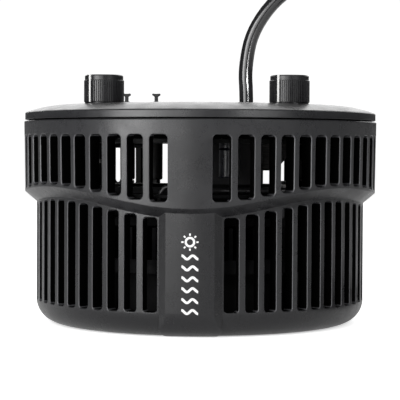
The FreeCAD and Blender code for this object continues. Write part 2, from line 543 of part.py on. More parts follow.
save("sink_screws", [cyl(3.0, 0.3, 2.2, at(a, 56.8).x, at(a, 56.8).y).fuse(cyl(1.5, 2.2, 28.8, at(a, 56.8).x, at(a, 56.8).y)).cut(hexagon(2.6, -1, 1.3, at(a, 56.8).x, at(a, 56.8).y)) for a in (45, 135, 225, 315)])

# ---------------------------------------------------------------------------
# light engine: emitter board, emitter, reflector, lens, gasket, bezel
# ---------------------------------------------------------------------------
led_holes = [cyl(1.1, 10, 30, at(a, 17.5).x, at(a, 17.5).y) for a in (30, 150, 270)]
save("thermal_pad", one(cyl(21.5, 24.0, SINK_Z0).cut(led_holes)))
save("led_board", one(cyl(21.5, 22.4, 24.0).cut(led_holes)))
save("led_screws", [cyl(2.0, 21.0, 22.4, at(a, 17.5).x, at(a, 17.5).y).fuse(cyl(1.0, 22.4, 28.0, at(a, 17.5).x, at(a, 17.5).y)) for a in (30, 150, 270)])
save("led_emitter", one(box(-8.5, 8.5, -8.5, 8.5, 21.5, 22.4).fuse(lathe([(0, 20.7), (6.4, 20.7), (7.0, 21.0), (7.0, 21.6), (0, 21.6)]))))
save("reflector", lathe([(13.2, 22.2), (12.4, 22.2), (13.6, 18.5), (16.6, 14.5), (22.5, 10.6), (30.5, 8.0), (37.0, 8.0), (37.0, 9.2), (31.2, 9.2), (23.4, 11.7), (17.7, 15.3), (14.6, 19.0)]))
save("lens_gasket", ring(37.0, 32.8, 7.1, 8.0))
save("lens", lathe([(0, 3.4), (10.0, 3.5), (20.0, 3.75), (30.0, 4.15), (33.5, 4.4), (37.0, 4.4), (37.0, 7.1), (0, 7.1)]))
shroud = ring(SHROUD_R, SHROUD_R - 1.4, 7.05, SINK_Z0).cut(box(38, 50, -5.0, 5.0, 17.6, 23.0))
save("light_shroud", one(shroud))
bezel = lathe([(34.8, 0.7), (35.6, 0.3), (51.8, 0.3), (52.2, 0.6), (52.2, 1.4), (45.4, 1.4), (45.4, 7.0), (37.1, 7.0), (37.1, 4.4), (33.9, 4.4), (33.9, 2.4)])
bez_cuts = []
for a in (0, 90, 180, 270):
    p = at(a, 49.0)
    bez_cuts += [cyl(1.15, -1, 5, p.x, p.y), Part.makeCone(2.4, 1.1, 1.1, V(p.x, p.y, 0.3))]
save("bottom_bezel", one(bezel.cut(bez_cuts)))
bs = []
for a in (0, 90, 180, 270):
    p = at(a, 49.0)
    s = Part.makeCone(2.2, 1.0, 1.0, V(p.x, p.y, 0.35)).fuse(cyl(1.0, 1.0, 6.5, p.x, p.y)).cut(hexagon(1.5, 0, 0.95, p.x, p.y))
    bs.append(one(s))
save("bezel_screws", bs)

# inner leads
save("led_leads", [simple_tube([(20.0, y, 21.3), (42.0, y * 0.9, 20.0), (64.0, y * 0.6, 19.5), (64.0, y * 0.62, 40.0), (62.9, y * 0.6, 60.0), (59.0, y * 0.8, 70.0), (59.0, y * 0.8, BOARD_Z0 - 0.02)], 0.8) for y in (-3.0, 3.0)])
save("fan_lead", simple_tube([(-13.8, -40.05, 49.0), (-13.9, -46.4, 50.0), (-13.9, -47.0, 56.5), (-11.6, -47.2, 59.6), (-5.0, -47.5, 57.75), (14.0, -48.0, 57.75),
                              (42.0, -47.0, 57.8), (53.0, -30.0, 59.5), (52.5, -16.0, 68.0), (49.5, -10.0, 72.5), (49.5, -10.2, BOARD_Z0 - 0.02)], 1.1))

# ---------------------------------------------------------------------------
# cord gland, cord, coil, tie, tail, connector
# ---------------------------------------------------------------------------
gland = lathe([(CORD_R, 86.6), (4.6, 86.6), (4.6, COVER_TOP), (6.4, COVER_TOP), (6.4, 95.1), (5.6, 95.7), (4.2, 95.9), (CORD_R, 95.9)], GLAND_X - 0.1, GLAND_Y)
save("cord_gland", gland)
save("gland_nut", hexagon(12.0, 88.3, COVER_UNDER, GLAND_X - 0.1, GLAND_Y).cut(cyl(4.6, 80, 100, GLAND_X - 0.1, GLAND_Y)))
save("supply_leads", [
    simple_tube([(18.4, 20.0, 88.5), (18.4, 20.0, 85.2), (22.0, 21.5, 83.0), (31.2, 24.5, 82.6), (31.2, 28.95, 82.6)], 0.9),
    simple_tube([(21.0, 20.0, 88.5), (21.0, 20.0, 85.2), (25.0, 19.5, 83.0), (36.8, 22.5, 82.6), (36.8, 28.95, 82.6)], 0.9),
])

print("power cord")
cord, cord_len = route_tube(ROUTE, CORD_R)
save("power_cord", cord)
z0 = COIL_LIFT
coil = lathe([(21.8, z0 + 1.8), (23.4, z0), (45.0, z0), (46.6, z0 + 1.8), (46.6, z0 + 5.0), (44.2, z0 + 9.2), (42.4, z0 + 11.5), (26.0, z0 + 11.5), (24.3, z0 + 9.2), (21.8, z0 + 5.0)], COIL_X, COIL_Y)
save("cord_coil", coil)
tail, tail_len = route_tube(TAIL, CORD_R)
save("cord_tail", tail)

# hook-and-loop tie round the coil's section, with its free end lying on top
tie_out = prism([(20.3, 0.05), (47.6, 0.05), (47.6, 6.8), (45.3, 11.3), (43.2, 13.6), (24.9, 13.6), (22.8, 11.3), (20.3, 6.8)], -4.5, 4.5)
tie_in = prism([(21.2, 1.05), (46.7, 1.05), (46.7, 6.5), (44.5, 10.7), (42.7, 12.7), (25.4, 12.7), (23.6, 10.7), (21.2, 6.5)], -5, 5)
flap = prism([(29.0, 13.6), (42.0, 13.6), (42.0, 14.4), (29.0, 14.4)], -4.5, 4.5)
tie = tie_out.cut(tie_in).fuse(flap).removeSplitter()
tie.rotate(V(0, 0, 0), V(1, 0, 0), 90)
tie.rotate(V(0, 0, 0), V(0, 0, 1), -50)
tie.translate(V(COIL_X, COIL_Y, 0))
save("cord_tie", tie.Solids[0])

axis = V(TAIL[-1][0] - TAIL[-2][0], TAIL[-1][1] - TAIL[-2][1], 0).normalize()
turn = math.degrees(math.atan2(axis.y, axis.x))
tip = V(*TAIL[-1])


def along(profile, segments=None):
    """Lathe about the connector's own axis: profile is (distance along the axis, radius)."""
    pts = [V(p[0], 0, p[1]) for p in profile]
    s = Part.Face(Part.makePolygon(pts + [pts[0]])).revolve(V(0, 0, 0), V(1, 0, 0), 360)
    s.rotate(V(0, 0, 0), V(0, 0, 1), turn)
    s.translate(tip)
    return s


save("connector_boot", along([(0, 0), (0, 3.6), (1.0, 3.9), (16.0, 5.0), (17.0, 5.0), (17.0, 0)]))
save("cord_connector", along([(17.0, 0), (17.0, 5.4), (17.8, 5.9), (28.0, 5.9), (28.6, 5.4), (28.6, 4.6), (38.2, 4.6), (38.2, 2.75), (42.5, 2.75), (42.5, 1.25), (30.0, 1.25), (30.0, 0)]))
lock = along([(28.9, 4.68), (28.9, 6.1), (29.4, 6.5), (37.4, 6.5), (37.9, 6.1), (37.9, 4.68)])
grooves = []
for k in range(18):
    g = Part.makeCylinder(0.35, 8.0, V(29.6, 0, 6.6), V(1, 0, 0))
    g.rotate(V(0, 0, 0), V(1, 0, 0), 20.0 * k)
    g.rotate(V(0, 0, 0), V(0, 0, 1), turn)
    g.translate(tip)
    grooves.append(g)
save("connector_lock_ring", one(lock.cut(grooves)))
print("free cord %.1f mm, tail %.1f mm" % (cord_len, tail_len))
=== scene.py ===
import json
import math

import bmesh
import bpy
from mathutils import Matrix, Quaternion, Vector


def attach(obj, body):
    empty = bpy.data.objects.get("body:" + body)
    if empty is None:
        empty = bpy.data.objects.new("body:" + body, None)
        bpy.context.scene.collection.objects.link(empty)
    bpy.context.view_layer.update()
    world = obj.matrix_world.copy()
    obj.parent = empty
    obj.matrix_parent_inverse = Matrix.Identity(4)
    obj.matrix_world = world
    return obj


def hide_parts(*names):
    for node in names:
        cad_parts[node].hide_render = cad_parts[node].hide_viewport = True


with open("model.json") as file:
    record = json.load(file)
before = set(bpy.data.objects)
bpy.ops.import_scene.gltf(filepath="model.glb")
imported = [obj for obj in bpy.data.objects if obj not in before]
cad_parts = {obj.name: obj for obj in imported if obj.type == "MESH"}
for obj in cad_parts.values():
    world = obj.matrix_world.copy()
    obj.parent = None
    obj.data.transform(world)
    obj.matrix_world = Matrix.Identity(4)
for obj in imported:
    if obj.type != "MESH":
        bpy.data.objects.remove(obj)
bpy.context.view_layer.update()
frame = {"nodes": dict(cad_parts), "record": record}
NODES = frame["nodes"]
scene = bpy.context.scene
MM = 0.001

# ---------------------------------------------------------------------------
# camera
# ---------------------------------------------------------------------------
cam_data = bpy.data.cameras.new("camera")
cam_data.lens = 140.46
cam_data.sensor_width = 36.0
cam_data.clip_start = 0.01
cam_data.clip_end = 60.0
cam = bpy.data.objects.new("camera", cam_data)
scene.collection.objects.link(cam)
cam.location = (0.03585, -0.68406, 0.0744)
cam.rotation_mode = "QUATERNION"
level = (Vector((0.0, 0.0, 0.0525)) - Vector(cam.location)).to_track_quat("-Z", "Y")
cam.rotation_quaternion = level @ Quaternion((0, 0, 1), math.radians(0.25))
scene.camera = cam

# ---------------------------------------------------------------------------
# the supply cord: one smooth line from the gland, over and down beside the light,
# through the put-away coil and into the connector's boot
# ---------------------------------------------------------------------------
CORD_R = 3.1
ROUTE = [
    (19.7, 20.0, 88.5), (19.7, 20.0, 99.5), (18.9, 20.0, 111.0), (22.0, 20.0, 128.5), (35.5, 20.0, 146.0),
    (57.9, 20.0, 155.8), (80.8, 20.0, 153.8), (98.8, 20.3, 141.2), (109.6, 20.8, 120.9),
    (112.6, 22.5, 95.5), (112.9, 26.0, 70.0), (112.8, 28.0, 46.5), (112.2, 19.2, 26.8),
    (110.4, 1.2, 15.4), (106.2, -18.0, 9.7),
]
TAIL = [(175.2, 4.3, 4.2), (167.2, 14.0, 3.6), (156.0, 22.4, 6.6), (142.4, 27.8, 6.6)]
COIL_X, COIL_Y = 145.0, -27.0
COIL_TURNS = 6.664
TIE_AZ = -50.0
PER_TURN = 20
RADII = [40.4, 34.2, 28.0, 24.9, 31.1, 37.3, 43.5]   # three turns on top, then four below
TOP_Z, LOW_Z = 9.6, 4.2


def ease(t):
    t = max(0.0, min(1.0, t))
    return t * t * (3 - 2 * t)


def coil_track(u):
    """Radius and height of the coil's line after u turns."""
    k = int(math.floor(u))
    f = u - k
    if k >= 6:
        r, z = RADII[6], LOW_Z
    else:
        t = ease((f - 0.66) / 0.32)
        if k < 2:                                   # a top turn steps in, over the turns below
            r = RADII[k] + (RADII[k + 1] - RADII[k]) * t
            z = TOP_Z + 0.8 * math.sin(2 * math.pi * t) ** 2
        elif k == 2:                                # the last top turn rolls down to the floor
            below = 24.9 + 6.2 * t
            a = math.radians(60.0 + 120.0 * t)
            r = below + 6.25 * math.cos(a)
            z = LOW_Z + 6.25 * math.sin(a)
        else:
            r = RADII[k] + (RADII[k + 1] - RADII[k]) * t
            z = LOW_Z
    return r, z


def coil_points():
    start = math.degrees(math.atan2(ROUTE[-1][1] - COIL_Y, ROUTE[-1][0] - COIL_X))
    pts = []
    n = int((COIL_TURNS - 0.03) * PER_TURN)
    for i in range(1, n + 1):
        u = i / PER_TURN
        r, z = coil_track(u)
        a = start + 360.0 * u
        off = (a - TIE_AZ + 180.0) % 360.0 - 180.0
        z += -1.1 + 1.1 * math.exp(-((off / 24.0) ** 2))
        if u > COIL_TURNS - 0.35:
            z += (LOW_Z - z) * ease((u - (COIL_TURNS - 0.35)) / 0.3)
        if u < 0.4:
            z += 1.1 * (1 - ease(u / 0.4))
        r /= math.cos(math.pi / PER_TURN) ** 0.5 * 0.9942
        pts.append((COIL_X + r * math.cos(math.radians(a)), COIL_Y + r * math.sin(math.radians(a)), z))
    return pts


def nurbs(name, points, radius, resolution=6, bevel=8):
    data = bpy.data.curves.new(name, "CURVE")
    data.dimensions = "3D"
    data.resolution_u = resolution
    data.bevel_depth = radius
    data.bevel_resolution = bevel
    data.use_fill_caps = True
    sp = data.splines.new("NURBS")
    sp.points.add(len(points) - 1)
    for p, q in zip(sp.points, points):
        p.co = (q[0] * MM, q[1] * MM, q[2] * MM, 1.0)
    sp.order_u = 3
    sp.use_endpoint_u = True
    sp.use_smooth = True
    ob = bpy.data.objects.new(name, data)
    scene.collection.objects.link(ob)
    return ob


cord = nurbs("supply_cord", ROUTE + coil_points() + TAIL, CORD_R * MM)

# ---------------------------------------------------------------------------
# node helpers for the materials
# ---------------------------------------------------------------------------


class Mat:
    """A node material built up line by line. Values that are even all over are set on the shader itself."""

    def __init__(self, name, **even):
        self.m = bpy.data.materials.new(name)
        self.m.use_nodes = True
        self.nt = self.m.node_tree
        self.bsdf = next(n for n in self.nt.nodes if n.type == "BSDF_PRINCIPLED")
        for k, v in even.items():
            self.bsdf.inputs[k.replace("_", " ")].default_value = v
        self.co = self.new("ShaderNodeTexCoord").outputs["Object"]

    def new(self, kind, **props):
        n = self.nt.nodes.new(kind)
        for k, v in props.items():
            setattr(n, k, v)
        return n

    def put(self, socket, value):
        if isinstance(value, bpy.types.NodeSocket):
            self.nt.links.new(value, socket)
        else:
            socket.default_value = value

    def scaled(self, scale, rotation=(0, 0, 0)):
        n = self.new("ShaderNodeMapping")
        self.put(n.inputs["Vector"], self.co)
        n.inputs["Scale"].default_value = scale if hasattr(scale, "__len__") else (scale,) * 3
        n.inputs["Rotation"].default_value = rotation
        return n.outputs["Vector"]

    def noise(self, scale, detail=3.0, rough=0.55, warp=0.0, vector=None):
        n = self.new("ShaderNodeTexNoise")
        self.put(n.inputs["Vector"], vector if vector is not None else self.scaled(scale))
        n.inputs["Scale"].default_value = 1.0 if vector is None else scale
        n.inputs["Detail"].default_value = detail
        n.inputs["Roughness"].default_value = rough
        n.inputs["Distortion"].default_value = warp
        return n.outputs["Fac"]

    def cells(self, scale, feature="F1", out="Distance", vector=None):
        n = self.new("ShaderNodeTexVoronoi", feature=feature)
        self.put(n.inputs["Vector"], vector if vector is not None else self.scaled(scale))
        n.inputs["Scale"].default_value = 1.0 if vector is None else scale
        return n.outputs[out]

    def waves(self, scale, direction="Z", warp=0.0, kind="BANDS", vector=None, profile="SIN"):
        n = self.new("ShaderNodeTexWave", wave_type=kind, wave_profile=profile)
        if kind == "BANDS":
            n.bands_direction = direction
        else:
            n.rings_direction = direction
        self.put(n.inputs["Vector"], vector if vector is not None else self.co)
        n.inputs["Scale"].default_value = scale
        n.inputs["Distortion"].default_value = warp
        return n.outputs["Fac"]

    def ramp(self, fac, stops):
        n = self.new("ShaderNodeValToRGB")
        self.put(n.inputs["Fac"], fac)
        el = n.color_ramp.elements
        while len(el) < len(stops):
            el.new(0.5)
        for e, (p, c) in zip(el, stops):
            e.position = p
            c = (c,) * 3 if not hasattr(c, "__len__") else c
            e.color = (*c, 1.0)
        return n.outputs["Color"]

    def mix(self, fac, a, b, blend="MIX"):
        n = self.new("ShaderNodeMix", data_type="RGBA", blend_type=blend)
        self.put(n.inputs[0], fac)
        for i, v in ((6, a), (7, b)):
            if not isinstance(v, bpy.types.NodeSocket):
                v = (*((v,) * 3 if not hasattr(v, "__len__") else v), 1.0)
            self.put(n.inputs[i], v)
        return n.outputs[2]

    def math(self, op, a, b=0.0, clamp=False):
        n = self.new("ShaderNodeMath", operation=op, use_clamp=clamp)
        self.put(n.inputs[0], a)
        self.put(n.inputs[1], b)
        return n.outputs[0]

    def span(self, v, lo, hi, out_lo, out_hi):
        n = self.new("ShaderNodeMapRange")
        self.put(n.inputs["Value"], v)
        n.inputs["From Min"].default_value = lo
        n.inputs["From Max"].default_value = hi
        n.inputs["To Min"].default_value = out_lo
        n.inputs["To Max"].default_value = out_hi
        return n.outputs["Result"]

    def edges(self, lo=0.52, hi=0.62):
        """Near 1 on outside edges and corners, where handling polishes the surface; on the plastics the lighter tone
        laid there is also a painted highlight along the edges.
        """
        g = self.new("ShaderNodeNewGeometry")
        return self.span(g.outputs["Pointiness"], lo, hi, 0.0, 1.0)

    def facing_up(self, lo=0.35, hi=0.95):
        g = self.new("ShaderNodeNewGeometry")
        x = self.new("ShaderNodeSeparateXYZ")
        self.put(x.inputs[0], g.outputs["Normal"])
        return self.span(x.outputs["Z"], lo, hi, 0.0, 1.0)

    def slot_shade_and_highlight_masks(self, z0, z1):
        """Two masks: the first is 1 on every wall inside the round housing's slots and bore, 0 on its outer skin, for
        painted shade there; the second marks the slots' eased outer edges, off the rib, for a painted highlight.
        Heights in metres.
        """
        g = self.new("ShaderNodeNewGeometry")
        flat = self.new("ShaderNodeVectorMath", operation="MULTIPLY")
        self.put(flat.inputs[0], self.co)
        flat.inputs[1].default_value = (1, 1, 0)
        out = self.new("ShaderNodeVectorMath", operation="NORMALIZE")
        self.put(out.inputs[0], flat.outputs[0])
        along = self.new("ShaderNodeVectorMath", operation="DOT_PRODUCT")
        self.put(along.inputs[0], out.outputs[0])
        self.put(along.inputs[1], g.outputs["True Normal"])
        nr = along.outputs["Value"]
        n = self.new("ShaderNodeSeparateXYZ")
        self.put(n.inputs[0], g.outputs["True Normal"])
        p = self.new("ShaderNodeSeparateXYZ")
        self.put(p.inputs[0], self.co)
        nz = self.math("ABSOLUTE", n.outputs["Z"])
        sideways = self.math("SUBTRACT", self.math("SUBTRACT", 1.0, self.math("MULTIPLY", nr, nr)), self.math("MULTIPLY", nz, nz))
        walls = self.span(sideways, 0.56, 0.80, 0.0, 1.0)
        inward = self.span(nr, -0.15, -0.45, 0.0, 1.0)
        level = self.math("MULTIPLY", self.span(nz, 0.86, 0.95, 0.0, 1.0),
                          self.math("MULTIPLY", self.math("GREATER_THAN", p.outputs["Z"], z0), self.math("LESS_THAN", p.outputs["Z"], z1)))
        # the slots' eased edges, which get a painted highlight
        eased = self.math("MULTIPLY", self.span(sideways, 0.10, 0.30, 0.0, 1.0), self.span(sideways, 0.70, 0.56, 0.0, 1.0))
        on_rib = self.math("MULTIPLY", self.math("LESS_THAN", self.math("ABSOLUTE", p.outputs["X"]), 0.0155), self.math("LESS_THAN", p.outputs["Z"], 0.0505))
        eased = self.math("MULTIPLY", eased, self.math("SUBTRACT", 1.0, on_rib))
        return self.math("MAXIMUM", self.math("MAXIMUM", walls, inward), level, clamp=True), eased

    def color(self, v):
        self.put(self.bsdf.inputs["Base Color"], v)

    def rough(self, v):
        self.put(self.bsdf.inputs["Roughness"], v)

    def bump(self, height, strength=0.2, distance=0.0002, under=None):
        n = self.new("ShaderNodeBump")
        n.inputs["Strength"].default_value = strength
        n.inputs["Distance"].default_value = distance
        self.put(n.inputs["Height"], height)
        if under is not None:
            self.put(n.inputs["Normal"], under)
        self.put(self.bsdf.inputs["Normal"], n.outputs["Normal"])
        return n.outputs["Normal"]


def plastic(name, dark, light, rough=0.42, spread=0.07, grain=2600.0, grain_strength=0.16, streaks=0.0, dust=0.0, edge_wear_and_highlight=(0.11, 0.112, 0.118), edge_wear_and_highlight_amount=0.25, slot_shade_heights=None, under=None, soften=0.0, draft=0.0, **even):
    """Moulded plastic: spark-eroded grain, slow tone changes, flow streaks up the wall, dust on top, lighter edges
    that are partly rubbed wear and partly a painted highlight; optional painted shade on the slot and bore walls and
    under the cover's rim, with a painted highlight on the slots' eased edges.
    """
    m = Mat(name, **even)
    slow = m.noise(28.0, 4.0, 0.6)
    fine = m.noise(grain, 2.0, 0.5)
    speck = m.noise(grain * 0.32, 1.0, 0.5)
    tone = m.ramp(slow, [(0.3, dark), (0.7, light)])
    tone = m.mix(m.span(speck, 0.35, 0.75, 0.0, 0.32), tone, tuple(x * 1.5 for x in light))
    if streaks:
        st = m.noise(0, 2.0, 0.6, vector=m.scaled((1500.0, 1500.0, 55.0)))
        n = st.node
        n.inputs["Scale"].default_value = 1.0
        tone = m.mix(m.span(st, 0.45, 0.75, 0.0, streaks), tone, tuple(x * 1.7 for x in light))
    # lighter edges, partly rubbed wear and partly a painted highlight along the edges
    if edge_wear_and_highlight_amount:
        tone = m.mix(m.math("MULTIPLY", m.edges(), edge_wear_and_highlight_amount), tone, edge_wear_and_highlight)
    if dust:
        patch = m.noise(90.0, 5.0, 0.7)
        amount = m.math("MULTIPLY", m.facing_up(), m.span(patch, 0.35, 0.8, 0.0, dust))
        tone = m.mix(amount, tone, (0.35, 0.34, 0.33))
    r = m.math("ADD", m.span(m.noise(140.0, 3.0, 0.6), 0.3, 0.7, rough - spread, rough + spread), m.span(fine, 0.3, 0.7, -0.03, 0.03))
    if under:
        # painted shade: below the rim the cover is coloured near-black, rougher and metallic, so it takes no light
        p = m.new("ShaderNodeSeparateXYZ")
        m.put(p.inputs[0], m.co)
        painted_shade = m.span(p.outputs["Z"], under, under - 0.00002, 0.0, 1.0)
        tone = m.mix(painted_shade, tone, m.ramp(slow, [(0.3, 0.0035), (0.7, 0.006)]))
        r = m.math("ADD", r, m.math("MULTIPLY", painted_shade, 0.42))
        m.put(m.bsdf.inputs["Metallic"], painted_shade)
    if slot_shade_heights:
        # painted shade: the walls of the slots and the bore are coloured near-black, rougher and metallic, so they
        # take no light; the slots' eased outer edges get a lighter painted highlight
        painted_shade, painted_edge_highlight = m.slot_shade_and_highlight_masks(*slot_shade_heights)
        # painted highlight along the slots' eased edges
        tone = m.mix(m.math("MULTIPLY", painted_edge_highlight, 0.9), tone, (0.105, 0.105, 0.112))
        # painted shade on the slot and bore walls
        tone = m.mix(painted_shade, tone, m.ramp(slow, [(0.3, 0.0035), (0.7, 0.006)]))
        r = m.math("ADD", r, m.math("MULTIPLY", painted_shade, 0.42))
        m.put(m.bsdf.inputs["Metallic"], painted_shade)
    m.color(tone)
    m.rough(r)
    eased = None
    if soften:
        b = m.new("ShaderNodeBevel", samples=4)
        b.inputs["Radius"].default_value = soften
        eased = b.outputs["Normal"]
        if draft:
            lean = m.new("ShaderNodeVectorMath", operation="ADD")
            m.put(lean.inputs[0], eased)
            lean.inputs[1].default_value = (0, 0, draft)
            unit = m.new("ShaderNodeVectorMath", operation="NORMALIZE")
            m.put(unit.inputs[0], lean.outputs[0])
            eased = unit.outputs[0]
    wide = m.bump(m.noise(60.0, 2.0, 0.5), 0.05, 0.0006, under=eased)
    m.bump(fine, grain_strength, 0.00012, under=wide)
    return m.m


def rubber(name, dark, light, rough=0.62, shine=0.0, bump=0.2, scale=900.0, dust=0.10, **even):
    m = Mat(name, **even)
    tone = m.ramp(m.noise(60.0, 4.0, 0.65), [(0.3, dark), (0.72, light)])
    if dust:
        tone = m.mix(m.span(m.noise(420.0, 6.0, 0.75), 0.55, 0.85, 0.0, dust), tone, (0.3, 0.3, 0.29))
    m.color(tone)
    m.rough(m.span(m.noise(220.0, 3.0, 0.6), 0.3, 0.7, rough - 0.07, rough + 0.07))
    low = m.bump(m.noise(130.0, 2.0, 0.5), 0.10, 0.0004)
    m.bump(m.noise(scale * 3.2, 2.0, 0.5), bump, 0.0001, under=low)
    return m.m


def metal(name, dark, light, rough=0.32, turned=0.0, brushed=None, edge=None, spread=0.08, **even):
    """Metal: turned rings or brushed lines, slow oxide tone changes, bright rubbed edges."""
    m = Mat(name, Metallic=1.0, **even)
    tone = m.ramp(m.noise(110.0, 4.0, 0.65), [(0.3, dark), (0.7, light)])
    if edge:
        tone = m.mix(m.math("MULTIPLY", m.edges(), 0.7), tone, edge)
    m.color(tone)
    m.rough(m.span(m.noise(260.0, 4.0, 0.6), 0.3, 0.7, rough - spread, rough + spread))
    low = m.bump(m.noise(1800.0, 3.0, 0.5), 0.08, 0.00006)
    if turned:
        m.bump(m.waves(turned, kind="RINGS", warp=1.5), 0.12, 0.00004, under=low)
    if brushed:
        lines = m.noise(0, 2.0, 0.6, vector=m.scaled(brushed))
        lines.node.inputs["Scale"].default_value = 1.0
        m.bump(lines, 0.15, 0.00005, under=low)
    return m.m


# ---------------------------------------------------------------------------
# materials, one for each finish on the real light
# ---------------------------------------------------------------------------
M = {}
# the housing gets painted shade on its slot and bore walls and a painted highlight on the slots' eased edges
M["housing"] = plastic("housing_plastic", (0.0055, 0.0055, 0.0064), (0.0082, 0.0082, 0.0095), rough=0.30, spread=0.05, grain=2400.0, grain_strength=0.14, streaks=0.35, slot_shade_heights=(0.0099, 0.0815), soften=0.0004)
# the cover gets painted shade below its rim
M["cover"] = plastic("cover_plastic", (0.0066, 0.0066, 0.0076), (0.0094, 0.0094, 0.0108), rough=0.31, spread=0.05, grain=2400.0, grain_strength=0.14, streaks=0.0, dust=0.012, under=0.08728, soften=0.0004, draft=0.10)
M["bezel"] = plastic("bezel_plastic", (0.020, 0.020, 0.022), (0.030, 0.030, 0.033), rough=0.40, grain=2600.0)
M["knob"] = plastic("knob_plastic", (0.007, 0.007, 0.0078), (0.012, 0.012, 0.0135), rough=0.30, spread=0.05, grain=3200.0, grain_strength=0.07, edge_wear_and_highlight=(0.05, 0.05, 0.053), edge_wear_and_highlight_amount=0.35, dust=0.05)
# painted shade: the parts inside the housing (fan, jacks, driver module) are coloured near-black, darker than their
# own plastic, for the shade they sit in
M["fan_plastic"] = plastic("fan_plastic", (0.0014, 0.0014, 0.0016), (0.0026, 0.0026, 0.0029), rough=0.66, grain=1800.0, edge_wear_and_highlight=(0.008, 0.008, 0.0085), Specular_IOR_Level=0.08)
M["jack_plastic"] = plastic("jack_plastic", (0.004, 0.004, 0.004), (0.007, 0.007, 0.007), rough=0.52, grain=3000.0, edge_wear_and_highlight=(0.02, 0.02, 0.021), Specular_IOR_Level=0.3)
M["module"] = plastic("module_plastic", (0.004, 0.004, 0.005), (0.007, 0.007, 0.0085), rough=0.60, grain=1500.0, edge_wear_and_highlight=(0.02, 0.02, 0.021), Specular_IOR_Level=0.25)
M["chip"] = plastic("chip_resin", (0.009, 0.009, 0.010), (0.015, 0.015, 0.016), rough=0.50, grain=4200.0, grain_strength=0.3)
M["terminal"] = plastic("terminal_plastic", (0.03, 0.14, 0.06), (0.04, 0.19, 0.08), rough=0.42, edge_wear_and_highlight=(0.2, 0.4, 0.25))
M["connector"] = plastic("connector_plastic", (0.012, 0.012, 0.013), (0.020, 0.020, 0.022), rough=0.34, grain=2800.0, edge_wear_and_highlight=(0.06, 0.06, 0.063), dust=0.04)
M["lock_ring"] = plastic("lock_ring_plastic", (0.016, 0.016, 0.017), (0.026, 0.026, 0.028), rough=0.40, grain=2200.0, edge_wear_and_highlight=(0.08, 0.08, 0.083), edge_wear_and_highlight_amount=0.4, dust=0.05)
M["plug_rubber"] = rubber("plug_rubber", (0.010, 0.010, 0.011), (0.017, 0.017, 0.018), rough=0.55)
M["gasket"] = rubber("gasket_rubber", (0.010, 0.010, 0.010), (0.018, 0.018, 0.018), rough=0.66)
M["gland"] = rubber("gland_rubber", (0.010, 0.010, 0.011), (0.018, 0.018, 0.019), rough=0.48, dust=0.06)
M["pad"] = rubber("thermal_pad", (0.30, 0.31, 0.34), (0.40, 0.41, 0.44), rough=0.7, scale=1500.0, dust=0.0)
M["screw_steel"] = metal("black_oxide_steel", (0.055, 0.055, 0.06), (0.10, 0.10, 0.105), rough=0.38, edge=(0.35, 0.34, 0.33))
M["nut_steel"] = metal("plated_steel", (0.45, 0.45, 0.46), (0.62, 0.62, 0.62), rough=0.28, edge=(0.85, 0.85, 0.84))
M["shaft_steel"] = metal("turned_steel", (0.50, 0.50, 0.51), (0.66, 0.66, 0.66), rough=0.24, turned=900.0)
M["pot_metal"] = metal("pot_case", (0.32, 0.32, 0.33), (0.45, 0.45, 0.46), rough=0.36, brushed=(3000.0, 3000.0, 120.0))
M["insert_brass"] = metal("insert_brass", (0.50, 0.36, 0.15), (0.66, 0.50, 0.24), rough=0.26, turned=1200.0, edge=(0.85, 0.7, 0.4))
M["bearing_brass"] = metal("bearing_bronze", (0.42, 0.27, 0.12), (0.55, 0.38, 0.18), rough=0.42)
# painted shade: the heat sink is coloured near-black, darker than black anodising, for the shade inside the housing
M["sink_aluminium"] = metal("anodised_sink", (0.0024, 0.0024, 0.0027), (0.0042, 0.0042, 0.0047), rough=0.64, brushed=(160.0, 2600.0, 2600.0), edge=(0.012, 0.012, 0.0125))

# white pointers: pad-printed lacquer, a little greyer in patches
m = Mat("pointer_white")
m.color(m.mix(m.span(m.noise(900.0, 3.0), 0.35, 0.8, 0.0, 0.35), (0.80, 0.80, 0.79), (0.66, 0.655, 0.64)))
m.rough(m.span(m.noise(700.0, 3.0), 0.3, 0.7, 0.30, 0.44))
m.bump(m.noise(2500.0, 2.0), 0.1, 0.00008)
M["pointer"] = m.m

# printed mark on the rib: thin ink that follows the grain below it
m = Mat("mark_ink")
m.color(m.mix(m.span(m.noise(2400.0, 2.0), 0.52, 0.8, 0.0, 0.4), (0.83, 0.83, 0.83), (0.55, 0.55, 0.55)))
m.rough(m.span(m.noise(800.0, 3.0), 0.3, 0.7, 0.36, 0.50))
m.bump(m.noise(2400.0, 2.0, 0.5), 0.15, 0.0001)
M["ink"] = m.m

# cord jacket: smooth extruded vinyl with a few lighter scuffs
m = Mat("cord_jacket", Coat_Weight=0.55, Coat_Roughness=0.05)
tone = m.ramp(m.noise(35.0, 4.0, 0.6), [(0.3, (0.0065, 0.0065, 0.007)), (0.7, (0.011, 0.011, 0.012))])
tone = m.mix(m.span(m.noise(500.0, 6.0, 0.75), 0.66, 0.9, 0.0, 0.12), tone, (0.06, 0.06, 0.058))
m.color(tone)
m.rough(m.span(m.noise(160.0, 4.0, 0.65), 0.3, 0.75, 0.15, 0.21))
low = m.bump(m.noise(55.0, 1.0, 0.5), 0.035, 0.0005)
m.bump(m.noise(3000.0, 2.0, 0.5), 0.02, 0.00004, under=low)
M["cord"] = m.m

# insulated hook-up wire: black silicone with a soft shine
m = Mat("lead_jacket")
m.color(m.ramp(m.noise(70.0, 3.0), [(0.3, (0.010, 0.010, 0.011)), (0.7, (0.020, 0.019, 0.020))]))
m.rough(m.span(m.noise(300.0, 3.0), 0.3, 0.7, 0.24, 0.36))
m.bump(m.noise(1400.0, 2.0), 0.08, 0.0001)
M["lead"] = m.m

